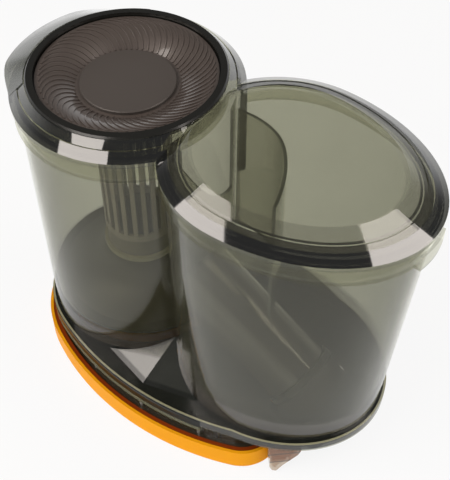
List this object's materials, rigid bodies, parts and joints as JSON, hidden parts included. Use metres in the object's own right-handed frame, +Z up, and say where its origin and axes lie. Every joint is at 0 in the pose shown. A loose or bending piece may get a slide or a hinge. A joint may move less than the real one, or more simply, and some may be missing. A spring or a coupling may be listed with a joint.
{
  "type": "cyclone dust bin",
  "caption": "Clear two-lobed vacuum dust bin: swirl barrel with slatted core, dust chamber, lift-off lid with swirl disc, and a base tray with air inlet and outlet.",
  "frame": {"origin": "on the ground under the middle of the bin's overall length, where the tray stands", "axes": "+Z up, +X from the swirl barrel to the dust chamber, Y across"},
  "size_m": [0.2919, 0.176, 0.238],
  "materials": {
    "smoke_clear": "clear smoke-grey moulding, polished",
    "smoke_lid": "dark clear smoke-grey moulding, polished",
    "orange_plastic": "satin gloss",
    "red_rubber": "matt",
    "screw_steel": "plated",
    "dark_plastic": "matt",
    "pale_plastic": "satin",
    "black_rubber": "matt",
    "black_gloss": "gloss",
    "disc_brown": "satin metallic grey-brown",
    "plate_brown": "satin, left bare"
  },
  "bodies": {
    "bin": {"bin_body": "smoke_clear", "dust_guide": "smoke_clear", "base_skirt": "smoke_clear", "base_tray": "orange_plastic", "base_seal": "red_rubber", "base_screws": "screw_steel", "barrel_floor": "smoke_clear", "outlet_tube": "dark_plastic", "outlet_seal": "black_rubber", "swirl_cone": "smoke_clear", "tube_ring": "pale_plastic", "vane_grille": "dark_plastic", "grille_cap": "dark_plastic", "inlet_duct": "smoke_clear", "inlet_elbow": "dark_plastic", "seam_ring": "pale_plastic", "inlet_seal": "black_rubber"},
    "lid": {"lid": "smoke_lid", "lid_seal": "black_rubber", "disc_ring": "black_gloss", "swirl_disc": "disc_brown", "centre_plate": "plate_brown"}
  },
  "joints": [
    {"name": "lid_lift", "type": "slide", "parent": "bin", "child": "lid", "axis": [0, 0, 1], "range_m": [0, 0.12]}
  ]
}
